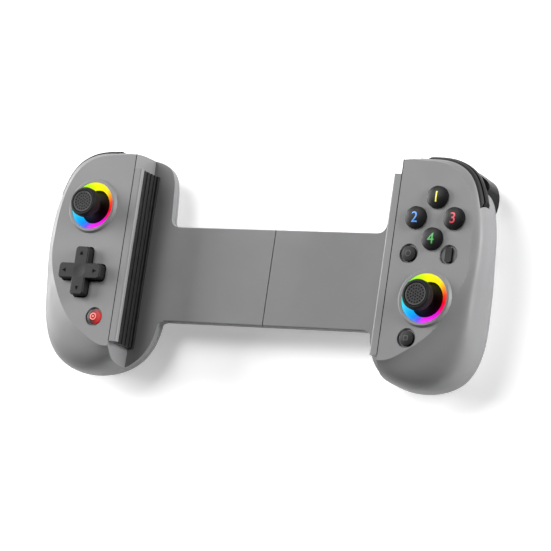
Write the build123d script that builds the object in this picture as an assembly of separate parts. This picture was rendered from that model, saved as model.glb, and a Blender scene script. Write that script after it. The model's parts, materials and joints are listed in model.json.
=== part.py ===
from build123d import *
import math
import os

# A telescopic two-handed game controller for a phone. It lies on its back.
# X runs along its length to the right, Y towards the shoulder edge, Z out of the face.
# The origin is under the middle of the object, on the surface that it lies on.
# Pieces are modelled for the right-hand grip and mirrored for the left.

# Overall sizes
overall_length = 218.6
overall_height = 100.0
face_height = 30.45
bay_floor_height = 14.0
bay_length = 134.2
ear_gap = 107.0
bumper_proud = 0.4
shell_wall = 2.0
shell_wall_side = 2.4

# Shell parting, where the front and rear covers meet
parting_height = 10.7

# Bridge sleeve and core plate
bridge_width = 43.1
bridge_middle_y = -2.8
bridge_bottom_height = 9.6
bridge_seam = 0.4
bridge_top_wall = 1.1
bridge_side_wall = 2.3
bridge_edge_round = 0.7
bridge_corner_radius = 3.6
bridge_corner_set = 0.8
core_reach = 58.0
core_gap = 0.1
core_corner_radius = 3.0
telescope_travel = 37.5

# Clamp lip and pad on the bay wall
lip_overhang = 3.9
lip_thickness = 2.7
lip_web = 1.5
lip_low_y = -37.3
lip_high_y = 41.1
lip_edge_round = 0.9
pad_thickness = 1.0
pad_rib_count = 4
pad_rib_height = 0.45
pad_rib_width = 1.1
pad_foot_height = 1.6
seat_gap = 0.1

# Thumbsticks
stick_x = 86.0
stick_left_y = 23.4
stick_right_y = -12.4
stick_pivot_depth = 10.45
stick_rise = 9.0
stick_press = 0.5
cap_radius = 6.5
cap_height = 4.4
cap_round = 0.9
cap_dish_radius = 5.2
cap_dish_depth = 0.5
stem_radius = 3.2
dome_radius = 10.0
dome_wall = 1.2
dome_reach_degrees = 58.0
shaft_radius = 1.4
shaft_tail = 1.5
shaft_collar_thickness = 0.8
rocker_half = 2.4
rocker_half_height = 1.3
ring_inner_half = 3.3
ring_outer_half = 4.3
ring_half_height = 1.1
trunnion_radius = 0.9
running_clearance = 0.05
base_half = 5.7
base_wall = 1.1
base_floor = 0.8
base_rim_above_pivot = 1.3
sensor_depth = 3.6
sensor_half_width = 4.4
sensor_top_above_pivot = 0.6

# Light rings and lamp boards
light_ring_radius = 10.6
light_ring_inner_radius = 7.8
light_ring_drop = 2.0
light_ring_rise = 0.7
light_ring_flange_radius = 11.9
light_ring_flange = 1.1
light_ring_lip = 0.9
collar_radius = 12.6
collar_rise = 1.0
collar_shoulder_share = 0.55
ring_fit_gap = 0.1
lamp_board_thickness = 0.8
lamp_board_inner_radius = 9.0
lamp_count = 8
lamp_size = 1.2
lamp_thickness = 0.5

# Boards and button mats
board_bottom_height = 14.9
board_thickness = 1.6
board_side_gap = 0.8
board_post_radius = 1.8
mat_thickness = 0.8
mat_collar_height = 3.2
mat_collar_wall = 0.8
plunger_dip = 0.3
plunger_side_gap = 0.5
mat_side_gap = 1.0
mat_stick_gap = 1.2

# Buttons
cluster_x = 85.8
cluster_y = 22.1
cluster_pitch = 18.0
face_button_radius = 4.8
face_button_rise = 1.2
face_button_dome = 0.9
face_plunger_radius = 2.4
small_button_radius = 3.2
small_button_rise = 0.3
small_button_dome = 0.4
small_plunger_radius = 1.5
small_recess_radius = 4.3
small_recess_depth = 1.0
small_recess_floor_radius = 3.7
button_side_gap = 0.15
button_flange = 0.9
button_flange_thickness = 1.1
button_flange_gap = 0.1
lit_button_x = 76.6
lit_button_y = -26.8
menu_button_x = 75.5
menu_button_y = 6.6
square_button_x = 79.8
square_button_y = -29.6
key_x = 94.2
key_y = 6.6
key_width = 2.9
key_length = 6.4
key_round = 0.8

# Direction pad
pad_x = 85.6
pad_y = -7.0
pad_span = 22.0
pad_arm_width = 7.0
pad_rise = 3.8
pad_arm_round = 1.6
pad_edge_round = 0.6
pad_dish_radius = 30.0
pad_dish_depth = 0.15
pad_hole_gap = 0.6
pad_flange_radius = 10.2
pad_flange_thickness = 1.2
pad_pivot_depth = 4.45
pad_ball_radius = 2.2
pad_post_radius = 2.4
pad_post_gap = 0.3
pad_stem_radius = 1.8
pad_stem_share = 0.69
pad_stem_side_gap = 0.9
pad_mark_length = 2.0
pad_mark_depth = 0.3

# Bumpers and triggers on the shoulder
bumper_top_drop = 2.4
bumper_height = 6.8
bumper_depth = 1.8
bumper_edge_proud = 0.2
bumper_bulge = 0.7
bumper_gap = 0.3
bumper_post_radius = 1.1
bumper_barrel_wall = 1.2
bumper_arm_height = 2.6
trigger_top_height = 20.7
trigger_bottom_height = 5.0
trigger_swing_gap = 1.7
trigger_wall = 2.4
trigger_swell = 3.6
trigger_swell_top = 25.0
trigger_dish_radius = 7.0
trigger_dish_depth = 1.4
trigger_gap = 0.5
trigger_pin_radius = 1.0
trigger_pin_height = 17.6
trigger_lug_radius = 2.3
trigger_lug_width = 2.2
trigger_bracket_width = 2.0
trigger_hanger_reach = 1.2
trigger_spring_radius = 2.0
trigger_spring_length = 7.4
window_depth = 12.0

# Screws, bosses and the board's standing posts
screw_shank_radius = 0.8
screw_shank_length = 9.0
screw_head_radius = 1.8
screw_head_height = 1.3
boss_radius = 2.6
rear_boss_radius = 3.2
screw_way_gap = 0.3
counterbore_gap = 0.3
boss_board_gap = 0.4

# Battery and charging socket
battery_length = 36.0
battery_width = 20.0
battery_thickness = 7.0
battery_round = 1.5
battery_x = 85.0
battery_y = -5.4
socket_width = 8.94
socket_thickness = 3.2
socket_depth = 7.3
socket_wall = 0.3
socket_tongue = 0.7
socket_x = 72.4
socket_gap = 0.1

# Tension springs
spring_radius = 0.8
spring_wall = 0.25
spring_y = 9.0
spring_post_radius = 0.7
spring_post_x = 4.0
spring_anchor_x = 50.0
spring_slot_gap = 0.5
spring_floor = 0.3
spring_loop_height = 0.5

# One overrun for all cuts
overrun = 1.0

# Places that follow from the sizes above
outer_x = overall_length / 2
wall_x = bay_length / 2
ear_x = ear_gap / 2
grip_width = outer_x - ear_x
low_y = -overall_height / 2
high_y = overall_height / 2 - bumper_proud
grip_height = high_y - low_y
ceiling_height = face_height - shell_wall
board_top = board_bottom_height + board_thickness
mat_top = board_top + mat_thickness
collar_top = mat_top + mat_collar_height
stick_pivot_height = face_height - stick_pivot_depth

# The grip's form, as shares of its width, height and thickness. Each row is one station
# round the grip: its place on the flat face, on the widest line and on the flat back,
# the height of the widest line, and how full the back is there.
station_shares = [
    # face x, face y, wide x, wide y, wide z, back x, back y, back fullness
    (0.908, 0.550, 0.988, 0.551, 0.72, 0.801, 0.506, 1.7),
    (0.898, 0.690, 0.970, 0.702, 0.76, 0.781, 0.687, 1.7),
    (0.855, 0.810, 0.922, 0.818, 0.73, 0.749, 0.810, 1.7),
    (0.749, 0.914, 0.821, 0.931, 0.72, 0.657, 0.894, 1.9),
    (0.600, 0.962, 0.649, 0.986, 0.67, 0.544, 0.927, 2.1),
    (0.421, 0.974, 0.437, 0.997, 0.58, 0.437, 0.928, 2.0),
    (0.224, 0.974, 0.241, 0.989, 0.45, 0.346, 0.907, 2.0),
    (0.090, 0.932, 0.088, 0.952, 0.42, 0.290, 0.865, 1.9),
    (0.032, 0.831, 0.028, 0.835, 0.36, 0.266, 0.781, 1.7),
    (0.014, 0.540, 0.000, 0.536, 0.34, 0.258, 0.521, 1.6),
    (0.023, 0.269, 0.000, 0.236, 0.34, 0.267, 0.249, 1.7),
    (0.099, 0.159, 0.080, 0.112, 0.38, 0.322, 0.150, 1.8),
    (0.260, 0.105, 0.274, 0.030, 0.41, 0.421, 0.103, 2.0),
    (0.466, 0.147, 0.561, 0.000, 0.45, 0.558, 0.100, 1.9),
    (0.660, 0.227, 0.806, 0.051, 0.47, 0.707, 0.111, 1.9),
    (0.794, 0.334, 0.941, 0.168, 0.50, 0.789, 0.215, 1.8),
    (0.880, 0.450, 0.974, 0.340, 0.58, 0.815, 0.367, 1.8),
]
# How far the outline has come out from the face towards the widest line, as the height drops
# from the face to that line: a short wall under the face, then a round shoulder
shoulder_profile = [(0, 1), (0.15, 0.998), (0.3, 0.985), (0.5, 0.93), (0.66, 0.82), (0.78, 0.66),
                    (0.86, 0.46), (0.92, 0.24), (0.96, 0.10), (1, 0)]
level_shares = [0.0, 0.03, 0.09, 0.2, 0.33, 0.46, 0.6, 0.72, 0.82, 0.89, 0.94, 0.97, 1.0]

# The trigger's outline seen from the face, as shares of the grip's width and height
trigger_outer_shares = [
    (0.40, 0.990),
    (0.55, 0.994),
    (0.70, 0.977),
    (0.78, 0.951),
    (0.852, 0.926),
    (0.897, 0.895),
    (0.897, 0.858),
    (0.870, 0.805),
]
trigger_inner_shares = [
    (0.800, 0.740),
    (0.700, 0.840),
    (0.550, 0.880),
    (0.40, 0.880),
]
shoulder_start_shares = (0.44, 0.93)
shoulder_end_shares = (0.86, 0.835)
trigger_start_share = -0.09
trigger_end_share = 1.02
bumper_end_share = 1.20
trigger_lug_places_share = (0.35, 0.75)
trigger_bracket_places_share = (0.24, 0.86)
trigger_lug_reach_share = 0.34
trigger_dish_place_share = (0.98, 0.33)
bumper_post_shares = (0.455, 0.945)

# Screw places and board post places on each grip, as shares of its width and height
screw_shares = [(0.335, 0.80), (0.335, 0.115), (0.77, 0.150), (0.865, 0.625)]
board_post_shares = [(0.33, 0.45), (0.86, 0.40), (0.50, 0.16), (0.55, 0.80)]


def block(low_x, high_x, near_y, far_y, low_z, high_z):
    # A box between two corners
    size = (high_x - low_x, far_y - near_y, high_z - low_z)
    middle = ((low_x + high_x) / 2, (near_y + far_y) / 2, (low_z + high_z) / 2)
    return Pos(*middle) * Box(*size)


def post(radius, low_z, high_z, x=0, y=0):
    # A round post that stands along Z
    return Pos(x, y, (low_z + high_z) / 2) * Cylinder(radius, high_z - low_z)


def frustum(low_radius, high_radius, low_z, high_z, x=0, y=0):
    middle = (low_z + high_z) / 2
    return Pos(x, y, middle) * Cone(low_radius, high_radius, high_z - low_z)


def turned(points, x=0, y=0):
    # A solid turned about a vertical axis, from its half section as (radius, height)
    line = Polyline(*[(r, 0, z) for r, z in points], close=True)
    return Pos(x, y, 0) * revolve(make_face(line), axis=Axis.Z)


def left_of(piece):
    # The same piece for the left-hand grip
    return mirror(piece, about=Plane.YZ)


def grip_xy(shares):
    return ear_x + shares[0] * grip_width, low_y + shares[1] * grip_height


def blend(near, far, share):
    return near + (far - near) * share


def shoulder(climb):
    # The profile's fullness at one share of the climb from the widest line to the face
    for (low, full), (high, slim) in zip(shoulder_profile, shoulder_profile[1:]):
        if climb <= high:
            return blend(full, slim, (climb - low) / (high - low))
    return 0


def section_points(height, inset):
    # The stations of the grip's outline at one height, drawn in by the inset
    places = []
    for row in station_shares:
        face, wide, back = grip_xy(row[0:2]), grip_xy(row[2:4]), grip_xy(row[5:7])
        widest = row[4] * face_height
        if height >= widest:
            fullness, far = shoulder((height - widest) / (face_height - widest)), face
        else:
            drop = (widest - height) / widest
            fullness, far = max(0, 1 - drop ** row[7]) ** (1 / row[7]), back
        places.append([blend(far[i], wide[i], fullness) for i in range(2)])
    drawn = []
    for i, (x, y) in enumerate(places):
        before, after = places[i - 1], places[(i + 1) % len(places)]
        run_x, run_y = after[0] - before[0], after[1] - before[1]
        run = math.hypot(run_x, run_y)
        drawn.append((x - inset * run_y / run, y + inset * run_x / run))
    return drawn


def section_wire(height, inset):
    points = [Vector(x, y, height) for x, y in section_points(height, inset)]
    return Wire([Edge.make_spline(points, periodic=True)])


def pebble(low_z, high_z, inset, bulge=0):
    # The grip's rounded form between two heights, with the ear but with no bay in it.
    # A bulge swells the sections outwards, most at half height.
    sections = []
    for share in level_shares:
        swell = bulge * math.sqrt(max(0, 1 - (2 * share - 1) ** 2))
        height = low_z + share * (high_z - low_z)
        sections.append(section_wire(height, inset - swell))
    return Solid.make_loft(sections)


def shoulder_frame():
    # The line that the trigger turns about, from its inner end to its outer end
    start, end = grip_xy(shoulder_start_shares), grip_xy(shoulder_end_shares)
    run = math.hypot(end[0] - start[0], end[1] - start[1])
    angle = math.degrees(math.atan2(end[1] - start[1], end[0] - start[0]))
    return start, end, run, angle


shoulder_start, shoulder_end, shoulder_run, shoulder_angle = shoulder_frame()


def on_shoulder(piece):
    # Places a piece drawn along X at the trigger's line
    return Pos(shoulder_start[0], shoulder_start[1], 0) * Rot(0, 0, shoulder_angle) * piece


# Trigger, bumper and their window

trigger_start = trigger_start_share * shoulder_run
trigger_end = trigger_end_share * shoulder_run
bumper_end = bumper_end_share * shoulder_run
bumper_top = face_height - bumper_top_drop
bumper_bottom = bumper_top - bumper_height
bumper_post_x, bumper_post_y = grip_xy(bumper_post_shares)


def shoulder_sector(end, gap, low_z, high_z, depth):
    # The part of the shoulder that the trigger or the bumper fills, square to the trigger's line
    start, end = trigger_start - gap, end + gap
    return on_shoulder(block(start, end, -depth, grip_height, low_z, high_z))


def trigger_outline():
    # The trigger's outline seen from the face
    outer = [Vector(*grip_xy(pair)) for pair in trigger_outer_shares]
    inner = [Vector(*grip_xy(pair)) for pair in trigger_inner_shares]
    edges = [
        Edge.make_spline(outer),
        Edge.make_line(outer[-1], inner[0]),
        Edge.make_spline(inner),
        Edge.make_line(inner[-1], outer[0]),
    ]
    return Face(Wire(edges))


def pin_rod(radius, start, end):
    # A rod on the trigger's line, drawn along X
    middle = (start + end) / 2
    return Pos(middle, 0, trigger_pin_height) * Rot(0, 90, 0) * Cylinder(radius, end - start)


def lug(middle, width, outward, upward):
    # An ear round the pin that reaches out to the paddle or up to the ceiling, clear of the bumper
    low, high = middle - width / 2, middle + width / 2
    ear = pin_rod(trigger_lug_radius, low, high)
    foot = trigger_pin_height - trigger_lug_radius
    head = trigger_pin_height + trigger_lug_radius
    if outward > 0:
        ear += block(low, high, 0, outward, foot, head)
    if upward > 0:
        ear += block(low, high, -trigger_lug_radius, trigger_hanger_reach, trigger_pin_height, upward)
    return ear


def trigger_solid():
    # A curved paddle that follows the shoulder and flares out at its tip, with two lugs on the pin
    rise = trigger_top_height - trigger_bottom_height
    paddle = Pos(0, 0, trigger_bottom_height) * extrude(trigger_outline(), rise, (0, 0, 1))
    paddle &= pebble(trigger_bottom_height, trigger_swell_top, 0, trigger_swell)
    paddle &= shoulder_sector(trigger_end, 0, 0, face_height, grip_height)
    paddle -= pebble(trigger_bottom_height - overrun, trigger_swell_top, trigger_wall)
    along, out = [share * shoulder_run for share in trigger_dish_place_share]
    dish_height = trigger_top_height + trigger_dish_radius - trigger_dish_depth
    paddle -= on_shoulder(Pos(along, out, dish_height) * Sphere(trigger_dish_radius))
    reach = trigger_lug_reach_share * shoulder_run
    for share in trigger_lug_places_share:
        paddle += on_shoulder(lug(share * shoulder_run, trigger_lug_width, reach, 0))
    hole = pin_rod(trigger_pin_radius + running_clearance, trigger_start, trigger_end)
    return paddle - on_shoulder(hole)


def trigger_pin_ends():
    first, last = [share * shoulder_run for share in trigger_bracket_places_share]
    return first - trigger_bracket_width / 2, last + trigger_bracket_width / 2


def trigger_pin_solid():
    return on_shoulder(pin_rod(trigger_pin_radius, *trigger_pin_ends()))


def trigger_spring_solid():
    # The coiled middle of a torsion spring, round the pin between the trigger's lugs
    first, last = [share * shoulder_run for share in trigger_lug_places_share]
    middle = (first + last) / 2
    start, end = middle - trigger_spring_length / 2, middle + trigger_spring_length / 2
    coil = pin_rod(trigger_spring_radius, start, end)
    return on_shoulder(coil - pin_rod(trigger_pin_radius + running_clearance, start, end))


def trigger_brackets():
    # Two hangers under the face that hold the trigger's pin
    hangers = []
    for share in trigger_bracket_places_share:
        middle = share * shoulder_run
        hanger = lug(middle, trigger_bracket_width, 0, ceiling_height + overrun)
        hangers.append(on_shoulder(hanger - pin_rod(trigger_pin_radius, *trigger_pin_ends())))
    return hangers


def bumper_solid():
    # A rolled bar along the shoulder, with a barrel at its inner end that turns on a post
    bar = pebble(bumper_bottom, bumper_top, -bumper_edge_proud, bumper_bulge)
    bar -= pebble(bumper_bottom - overrun, bumper_top + overrun, bumper_depth)
    bar &= shoulder_sector(bumper_end, 0, 0, face_height, window_depth)
    bore = bumper_post_radius + running_clearance
    barrel_radius = bore + bumper_barrel_wall
    low_z, high_z = bumper_top - bumper_arm_height, bumper_top
    barrel = post(barrel_radius, low_z, high_z, bumper_post_x, bumper_post_y)
    low_x, high_x = bumper_post_x - barrel_radius / 2, bumper_post_x + barrel_radius / 2
    far_y = high_y - bumper_depth / 2
    arm = block(low_x, high_x, bumper_post_y, far_y, low_z, high_z)
    return bar + barrel + arm - post(bore, low_z, high_z, bumper_post_x, bumper_post_y)


# Covers


def bay_block(grow):
    # The space that the phone takes, over the ears and the bridge
    return block(-wall_x - grow, wall_x + grow, -overall_height, overall_height,
                 bay_floor_height - grow, face_height + collar_rise + overrun)


def bridge_half():
    # Half of the bridge, with the hollow corners where it meets the ear
    near, far = bridge_middle_y - bridge_width / 2, bridge_middle_y + bridge_width / 2
    inner_x = ear_x + bridge_corner_radius
    start_x = ear_x + bridge_corner_set - bridge_corner_radius
    bar = block(bridge_seam / 2, wall_x, near, far, bridge_bottom_height, bay_floor_height)
    long_edges = [edge for edge in bar.edges().filter_by(Axis.X)]
    bar = fillet(long_edges, bridge_edge_round)
    for edge_y, way in ((near, -1), (far, 1)):
        corner_y = edge_y + way * bridge_corner_radius
        low, high = sorted((edge_y - way * bridge_side_wall, corner_y))
        corner = block(start_x, inner_x, low, high, bridge_bottom_height, bay_floor_height)
        bar += corner - post(bridge_corner_radius, bridge_bottom_height, bay_floor_height,
                             start_x, corner_y)
    return bar


def sleeve_space():
    # The slot that the core plate slides in, open at the seam and into the grip
    half = bridge_width / 2 - bridge_side_wall
    near, far = bridge_middle_y - half, bridge_middle_y + half
    return block(0, wall_x, near, far, parting_height, bay_floor_height - bridge_top_wall)


def grip_shell():
    # The hollow grip with its half of the bridge, not yet parted
    outside = pebble(0, face_height, 0) - bay_block(0) + bridge_half()
    hollow = pebble(shell_wall, ceiling_height, shell_wall_side) - bay_block(shell_wall)
    window_top = bumper_top + bumper_gap
    window = shoulder_sector(
        trigger_end, trigger_gap, trigger_bottom_height - trigger_swing_gap, window_top, window_depth
    )
    window += shoulder_sector(
        bumper_end, trigger_gap, bumper_bottom - bumper_gap, window_top, window_depth
    )
    return outside, outside - hollow - sleeve_space() - window


def screw_places():
    return [grip_xy(pair) for pair in screw_shares]


def front_half(outside, shell):
    # The front cover before its openings: the shell over the parting, with bosses and hangers
    cover = shell & block(0, overall_length, -overall_height, overall_height,
                          parting_height, face_height + overrun)
    for x, y in screw_places():
        boss = post(boss_radius, parting_height, ceiling_height + overrun, x, y) & outside
        cover += boss
    for x, y in screw_places():
        cover -= post(screw_shank_radius, parting_height, screw_tip_height, x, y)
    for hanger in trigger_brackets():
        cover += hanger
    cover += post(bumper_post_radius, bumper_top - bumper_arm_height, ceiling_height + overrun,
                  bumper_post_x, bumper_post_y)
    return cover


screw_head_seat = parting_height - screw_shank_length / 2 + screw_head_height / 2
screw_tip_height = screw_head_seat + screw_shank_length


def rear_half(outside, shell, spring_side):
    # The rear cover: the shell under the parting, with screw ways, board posts and a spring post
    cover = shell & block(0, overall_length, -overall_height, overall_height,
                          -overrun, parting_height)
    for x, y in screw_places():
        cover += post(rear_boss_radius, 0, parting_height, x, y) & outside
    for shares in board_post_shares:
        x, y = grip_xy(shares)
        cover += post(board_post_radius, 0, board_bottom_height, x, y) & outside
    for x, y in screw_places():
        cover -= post(screw_shank_radius + screw_way_gap, 0, parting_height, x, y)
        cover -= post(screw_head_radius + counterbore_gap, -overrun, screw_head_seat, x, y)
    top = bay_floor_height - bridge_top_wall - core_gap
    cover += post(spring_post_radius, parting_height - overrun, top, spring_post_x,
                  bridge_middle_y + spring_side * spring_y)
    return cover


def screws_solid():
    # One screw in each boss, its head against the step in the rear cover
    screws = []
    for x, y in screw_places():
        shank = post(screw_shank_radius, screw_head_seat, screw_tip_height, x, y)
        screws.append(shank + post(screw_head_radius, screw_head_seat - screw_head_height,
                                   screw_head_seat, x, y))
    return screws


def button_hole(radius, x, y):
    return post(radius + button_side_gap, ceiling_height - overrun, face_height + overrun, x, y)


def small_recess(x, y):
    floor = face_height - small_recess_depth
    return frustum(small_recess_floor_radius, small_recess_radius, floor, face_height, x, y)


def ring_seat(cover, y):
    # The hole for a light ring, with a soft raised collar round it
    collar = turned([
        (light_ring_radius, ceiling_height),
        (collar_radius, ceiling_height),
        (collar_radius, face_height),
        (blend(light_ring_radius, collar_radius, collar_shoulder_share), face_height + collar_rise),
        (light_ring_radius, face_height + collar_rise),
    ], stick_x, y)
    hole = post(light_ring_radius + ring_fit_gap, ceiling_height - overrun,
                face_height + collar_rise + overrun, stick_x, y)
    return cover + collar - hole


def cross(span, arm_width, low_z, high_z):
    half, arm = span / 2, arm_width / 2
    shape = block(-half, half, -arm, arm, low_z, high_z) + block(-arm, arm, -half, half, low_z, high_z)
    return shape


# Thumbstick and its light ring


def stick_base(y):
    # A square frame on the board, with a sensor box on two sides
    low, top = board_top, stick_pivot_height + base_rim_above_pivot
    inner = base_half - base_wall
    frame = block(-base_half, base_half, -base_half, base_half, low, top)
    frame -= block(-inner, inner, -inner, inner, low + base_floor, top)
    frame -= trunnion_rod(Rot(90, 0, 0), 2 * base_half, running_clearance)
    sensor_top = stick_pivot_height + sensor_top_above_pivot
    outer = base_half + sensor_depth
    frame += block(base_half, outer, -sensor_half_width, sensor_half_width, low, sensor_top)
    frame += block(-sensor_half_width, sensor_half_width, -outer, -base_half, low, sensor_top)
    return Pos(stick_x, y, 0) * frame


def trunnion_rod(turn, length, clearance):
    rod = turn * Cylinder(trunnion_radius + clearance, length)
    return Pos(0, 0, stick_pivot_height) * rod


def stick_ring(y):
    # The outer gimbal ring, which turns on pins along Y and carries the rocker's pins along X
    low, high = stick_pivot_height - ring_half_height, stick_pivot_height + ring_half_height
    ring = block(-ring_outer_half, ring_outer_half, -ring_outer_half, ring_outer_half, low, high)
    ring += trunnion_rod(Rot(90, 0, 0), 2 * (base_half - running_clearance), 0)
    ring -= block(-ring_inner_half, ring_inner_half, -ring_inner_half, ring_inner_half, low, high)
    ring -= trunnion_rod(Rot(0, 90, 0), 2 * ring_outer_half, running_clearance)
    return Pos(stick_x, y, 0) * ring


def stick_rocker(y):
    # The inner block, which turns in the ring and guides the shaft when the stick is pressed
    low = stick_pivot_height - rocker_half_height
    high = stick_pivot_height + rocker_half_height
    rocker = block(-rocker_half, rocker_half, -rocker_half, rocker_half, low, high)
    rocker += trunnion_rod(Rot(0, 90, 0), 2 * ring_outer_half, 0)
    rocker -= post(shaft_radius + running_clearance, low, high)
    return Pos(stick_x, y, 0) * rocker


shaft_top = face_height + stick_rise - cap_height + cap_round


def stick_shaft(y):
    # The shaft from under the rocker up into the cap, with a shoulder over the rocker
    low = stick_pivot_height - shaft_tail
    shaft = post(shaft_radius, low, shaft_top, stick_x, y)
    seat = stick_pivot_height + rocker_half_height + stick_press + seat_gap
    return shaft + post(rocker_half, seat, seat + shaft_collar_thickness, stick_x, y)


def stick_cap(y):
    # The thumb cap on its stem, with the domed skirt that closes the hole in the face
    top = face_height + stick_rise
    disc = post(cap_radius, top - cap_height, top)
    disc = fillet(disc.edges().filter_by(GeomType.CIRCLE), cap_round)
    disc -= frustum(cap_dish_radius - cap_dish_depth, cap_dish_radius, top - cap_dish_depth, top)
    centre = Pos(0, 0, stick_pivot_height)
    skirt = centre * (Sphere(dome_radius) - Sphere(dome_radius - dome_wall))
    reach = dome_radius * math.cos(math.radians(dome_reach_degrees))
    skirt &= block(-dome_radius, dome_radius, -dome_radius, dome_radius,
                   stick_pivot_height + reach, stick_pivot_height + dome_radius)
    stem_low = stick_pivot_height + dome_radius - dome_wall
    stem = post(stem_radius, stem_low, top - cap_height)
    bore = post(shaft_radius, stick_pivot_height, shaft_top)
    return Pos(stick_x, y, 0) * (disc + skirt + stem - bore)


def light_ring(y):
    # A clear funnel, its flange against the underside of the face
    fit_radius = light_ring_radius
    top = face_height + light_ring_rise
    low = ceiling_height - light_ring_flange
    return turned([
        (light_ring_inner_radius, low),
        (light_ring_flange_radius, low),
        (light_ring_flange_radius, ceiling_height),
        (fit_radius, ceiling_height),
        (fit_radius, top),
        (fit_radius - light_ring_lip, top),
        (light_ring_inner_radius, top - light_ring_drop),
    ], stick_x, y)


def lamp_board(y):
    # A ring-shaped board under the light ring, its lamps against the ring
    lamp_top = ceiling_height - light_ring_flange
    board_high = lamp_top - lamp_thickness
    board_low = board_high - lamp_board_thickness
    ring = post(light_ring_flange_radius, board_low, board_high)
    ring -= post(lamp_board_inner_radius, board_low, board_high)
    lamp_radius = (light_ring_flange_radius + lamp_board_inner_radius) / 2
    half = lamp_size / 2
    for i in range(lamp_count):
        lamp = block(lamp_radius - half, lamp_radius + half, -half, half, board_high, lamp_top)
        ring += Rot(0, 0, 360 / lamp_count * i) * lamp
    return Pos(stick_x, y, 0) * ring


# Boards and mats


def board_face(inset):
    # The board's outline: the grip's, clear of its walls at both of its faces, and of the bay
    gap = shell_wall_side + inset
    outline = Face(section_wire(board_bottom_height, gap))
    drop = Pos(0, 0, board_bottom_height - mat_top)
    outline &= drop * Face(section_wire(mat_top, gap))
    low_x = wall_x + shell_wall + inset
    keep = Pos(low_x + grip_width / 2, 0, board_bottom_height) * Rectangle(grip_width, overall_height)
    return outline & keep


def without_bosses(plate, low_z, high_z):
    room = shoulder_sector(trigger_end, trigger_gap, low_z, high_z, window_depth / 2)
    plate -= room
    for x, y in screw_places():
        plate -= post(boss_radius + boss_board_gap, low_z, high_z, x, y)
    return plate


def circuit_board():
    plate = extrude(board_face(board_side_gap), amount=board_thickness)
    return without_bosses(plate, board_bottom_height, board_top)


def button_mat(stick_y, collars):
    # A rubber sheet on the board with an open collar under each plunger
    rise = Pos(0, 0, board_thickness)
    sheet = rise * extrude(board_face(board_side_gap + mat_side_gap), amount=mat_thickness)
    sheet = without_bosses(sheet, board_top, mat_top)
    reach = base_half + sensor_depth + mat_stick_gap
    sheet -= post(reach, board_top, mat_top, stick_x, stick_y)
    for radius, x, y in collars:
        sheet += post(radius + mat_collar_wall, board_top, collar_top, x, y)
    for radius, x, y in collars:
        sheet -= post(radius, mat_top, collar_top, x, y)
    return sheet


# Buttons


def push_button(cap, radius_x, plunger_radius, x, y):
    # A cap with a flange under the face and a plunger that dips into its collar
    flange_top = ceiling_height - button_flange_gap
    flange_low = flange_top - button_flange_thickness
    flange = post(radius_x + button_flange, flange_low, flange_top, x, y)
    plunger = post(plunger_radius, collar_top - plunger_dip, flange_low, x, y)
    return cap + flange + plunger


def domed_cap(radius, rise, dome, x, y):
    # A round cap whose top swells by the dome's height
    edge = face_height + rise - dome
    sphere_radius = (radius ** 2 + dome ** 2) / (2 * dome)
    ball = Pos(x, y, edge + dome - sphere_radius) * Sphere(sphere_radius)
    low = ceiling_height - button_flange_gap
    cap = post(radius, low, edge + dome, x, y) & ball
    return cap


def face_button(x, y):
    cap = domed_cap(face_button_radius, face_button_rise + face_button_dome, face_button_dome, x, y)
    return push_button(cap, face_button_radius, face_plunger_radius, x, y)


def small_button(x, y):
    cap = domed_cap(small_button_radius, small_button_rise + small_button_dome,
                    small_button_dome, x, y)
    return push_button(cap, small_button_radius, small_plunger_radius, x, y)


def key_prism(grow, low_z, high_z):
    half_x, half_y = key_width / 2 + grow, key_length / 2 + grow
    prism = block(key_x - half_x, key_x + half_x, key_y - half_y, key_y + half_y, low_z, high_z)
    return fillet(prism.edges().filter_by(Axis.Z), key_round + grow)


def key_button():
    cap = key_prism(0, ceiling_height - button_flange_gap, face_height + small_button_rise)
    return push_button(cap, key_length / 2, small_plunger_radius, key_x, key_y)


pad_pivot_height = face_height - pad_pivot_depth
pad_stem_reach = pad_stem_share * pad_span / 2


def pad_stem_places():
    ways = ((1, 0), (0, 1), (-1, 0), (0, -1))
    return [(pad_x + pad_stem_reach * a, pad_y + pad_stem_reach * b) for a, b in ways]


def direction_pad():
    # A cross with a round flange under the face, a ball socket and four plungers
    flange_low = pad_pivot_height - pad_flange_thickness / 2 - running_clearance
    flange_high = flange_low + pad_flange_thickness
    top = face_height + pad_rise
    shape = cross(pad_span, pad_arm_width, flange_low, top)
    upright = [e for e in shape.edges().filter_by(Axis.Z)
               if max(abs(e.center().X), abs(e.center().Y)) > pad_span / 2 - pad_arm_width / 4]
    shape = fillet(upright, pad_arm_round)
    rim = shape.faces().sort_by(Axis.Z)[-1].edges()
    shape = fillet(rim, pad_edge_round)
    dish = Pos(0, 0, top - pad_dish_depth + pad_dish_radius) * Sphere(pad_dish_radius)
    shape -= dish
    for turn in range(4):
        shape -= Rot(0, 0, 90 * turn) * pad_mark(top)
    shape += post(pad_flange_radius, flange_low, flange_high)
    pad = Pos(pad_x, pad_y, 0) * shape
    for x, y in pad_stem_places():
        pad += post(pad_stem_radius, collar_top - plunger_dip, flange_high, x, y)
    return pad - pad_ball(running_clearance)


def pad_mark(top):
    # A sunk arrow head near the end of an arm
    reach = pad_stem_reach + pad_mark_length / 4
    half = pad_mark_length / 2
    tip = (reach + half, 0)
    outline = Polyline(tip, (reach - half, half), (reach - half, -half), close=True)
    sunk = pad_dish_depth + pad_mark_depth
    return Pos(0, 0, top - sunk) * extrude(make_face(outline), amount=sunk + overrun)


def pad_ball(grow):
    return Pos(pad_x, pad_y, pad_pivot_height) * Sphere(pad_ball_radius + grow)


def pad_post():
    # The standing post whose cup holds the pad's ball
    low_edge = pad_pivot_height - pad_flange_thickness / 2 - running_clearance
    cup = post(pad_post_radius, board_top, low_edge - pad_post_gap, pad_x, pad_y)
    return cup - pad_ball(running_clearance)


# Bay wall


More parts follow.
